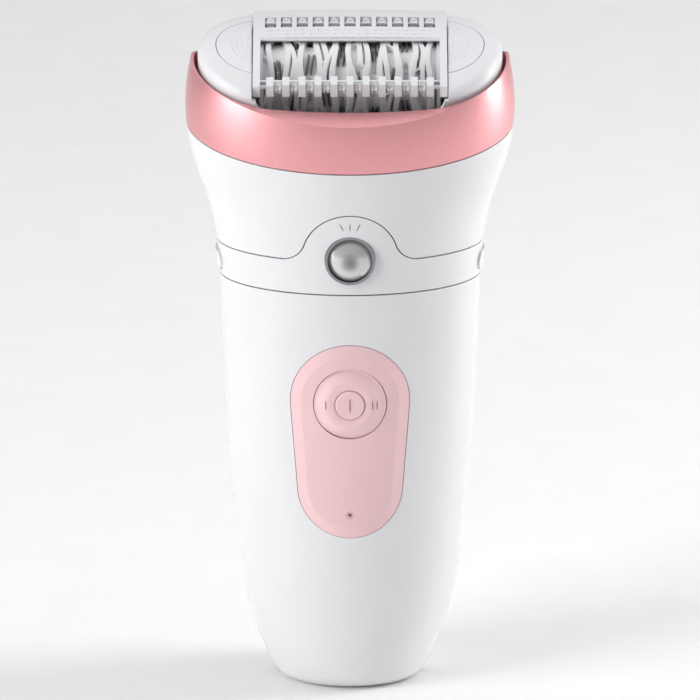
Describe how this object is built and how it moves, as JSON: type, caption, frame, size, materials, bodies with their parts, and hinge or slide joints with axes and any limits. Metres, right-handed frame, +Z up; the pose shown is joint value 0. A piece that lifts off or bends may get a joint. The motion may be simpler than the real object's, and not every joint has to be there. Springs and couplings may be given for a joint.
{
  "type": "cordless epilator",
  "caption": "Hand-held cordless hair remover: rounded handle with speed dial and lamp, and a pull-off pivoting head with a geared tweezer barrel under a massage cap.",
  "frame": {"origin": "centre of the flat foot that the handle stands on", "axes": "+Z up along the handle, front (dial, lamp) towards -Y, +X to the right seen from the front"},
  "size_m": [0.0672, 0.0439, 0.1396],
  "materials": {
    "body_white": "gloss",
    "inner_white": "satin",
    "rose_metallic": "pearl metallic gloss",
    "panel_pink": "soft touch matt",
    "dial_pink": "soft touch matt",
    "chrome_trim": "polished",
    "lens_clear": "clear",
    "reflector": "bright",
    "led": "gloss",
    "seal_grey": "matt",
    "steel": "satin",
    "tweezer_steel": "satin",
    "gear_nylon": "satin",
    "motor_steel": "satin",
    "motor_plastic": "satin",
    "bronze": "sintered",
    "magnet": "matt",
    "copper": "varnished",
    "cell_wrap": "gloss",
    "nickel": "satin",
    "board_green": "solder mask",
    "component_black": "matt",
    "chassis_grey": "satin",
    "inlet_black": "satin",
    "indicator": "gloss"
  },
  "bodies": {
    "handle": {"front_housing": "body_white", "rear_housing": "body_white", "housing_seal": "seal_grey", "neck_gasket": "seal_grey", "control_panel": "panel_pink", "status_light": "indicator", "charging_inlet": "inlet_black", "inlet_pins": "nickel", "neck_ring": "body_white", "top_deck": "inner_white", "shaft_seal": "seal_grey", "deck_screws": "steel", "lamp_housing": "inner_white", "lamp_reflector": "reflector", "lamp_led": "led", "lens_bezel": "chrome_trim", "lamp_lens": "lens_clear", "motor_can": "motor_steel", "motor_end_cap": "motor_plastic", "motor_bearings": "bronze", "motor_magnets": "magnet", "motor_screws": "steel", "battery_cell": "cell_wrap", "battery_tabs": "nickel", "circuit_board": "board_green", "board_components": "component_black", "selector_switch": "component_black", "chassis": "chassis_grey"},
    "motor_rotor": {"motor_shaft": "steel", "motor_armature": "copper", "motor_commutator": "copper", "motor_pinion": "gear_nylon"},
    "speed_dial": {"switch_dial": "dial_pink"},
    "dial_lock": {"lock_button": "dial_pink"},
    "left_release": {"release_button_left": "body_white"},
    "right_release": {"release_button_right": "body_white"},
    "head_base": {"head_base_shell": "body_white", "collar_band": "rose_metallic", "pivot_axle": "steel", "gear_frame": "chassis_grey", "idler_pin": "steel"},
    "crown_shaft": {"crown_axle": "steel", "crown_gear": "gear_nylon", "drive_pinion": "gear_nylon"},
    "idler": {"idler_gear": "gear_nylon"},
    "pivot_head": {"head_frame": "body_white", "pod_cover_left": "body_white", "pod_cover_right": "body_white"},
    "tweezer_barrel": {"barrel_core": "inner_white", "barrel_gear": "gear_nylon", "fixed_tweezers": "tweezer_steel"},
    "tweezer_bars": {"moving_tweezers": "tweezer_steel", "push_rods": "steel"},
    "cap": {"cap_frame": "body_white"},
    "front_rollers": {"front_roller": "inner_white"},
    "rear_rollers": {"rear_roller": "inner_white"}
  },
  "joints": [
    {"name": "head_release", "type": "slide", "parent": "handle", "child": "head_base", "axis": [0, 0, 1], "range_m": [0, 0.03]},
    {"name": "motor_spin", "type": "hinge", "parent": "handle", "child": "motor_rotor", "pos_m": [0, 0, 0.075], "axis": [0, 0, 1], "continuous": true},
    {"name": "dial_turn", "type": "hinge", "parent": "handle", "child": "speed_dial", "pos_m": [0, -0.018, 0.0648], "axis": [0, -1, 0], "range_deg": [-35, 35]},
    {"name": "lock_press", "type": "slide", "parent": "speed_dial", "child": "dial_lock", "axis": [0, 1, 0], "range_m": [0, 0.0008], "stiffness_N_per_m": 400},
    {"name": "left_release_press", "type": "slide", "parent": "handle", "child": "left_release", "axis": [1, 0, 0], "range_m": [0, 0.0012], "stiffness_N_per_m": 600},
    {"name": "right_release_press", "type": "slide", "parent": "handle", "child": "right_release", "axis": [-1, 0, 0], "range_m": [0, 0.0012], "stiffness_N_per_m": 600},
    {"name": "barrel_spin", "type": "hinge", "parent": "head_base", "child": "tweezer_barrel", "pos_m": [0, 0, 0.1282], "axis": [1, 0, 0], "continuous": true},
    {"name": "idler_spin", "type": "hinge", "parent": "head_base", "child": "idler", "pos_m": [0.0227, 0, 0.1157], "axis": [1, 0, 0], "continuous": true},
    {"name": "crown_spin", "type": "hinge", "parent": "head_base", "child": "crown_shaft", "pos_m": [0.005, 0, 0.1052], "axis": [1, 0, 0], "continuous": true},
    {"name": "head_pivot", "type": "hinge", "parent": "head_base", "child": "pivot_head", "pos_m": [0, 0, 0.1282], "axis": [1, 0, 0], "range_deg": [-7.5, 7.5]},
    {"name": "tweezer_close", "type": "slide", "parent": "tweezer_barrel", "child": "tweezer_bars", "axis": [-1, 0, 0], "range_m": [0, 0.0004], "stiffness_N_per_m": 500},
    {"name": "cap_release", "type": "slide", "parent": "pivot_head", "child": "cap", "axis": [0, -0.2588, 0.9659], "range_m": [0, 0.02]},
    {"name": "front_roller_spin", "type": "hinge", "parent": "cap", "child": "front_rollers", "pos_m": [0, -0.01304, 0.1305], "axis": [1, 0, 0], "continuous": true},
    {"name": "rear_roller_spin", "type": "hinge", "parent": "cap", "child": "rear_rollers", "pos_m": [0, 0.00672, 0.13828], "axis": [1, 0, 0], "continuous": true}
  ],
  "couplings": [
    {"joint": "idler_spin", "follows": "barrel_spin", "ratio": -0.66667},
    {"joint": "crown_spin", "follows": "barrel_spin", "ratio": 1.6667},
    {"joint": "motor_spin", "follows": "barrel_spin", "ratio": 5}
  ]
}
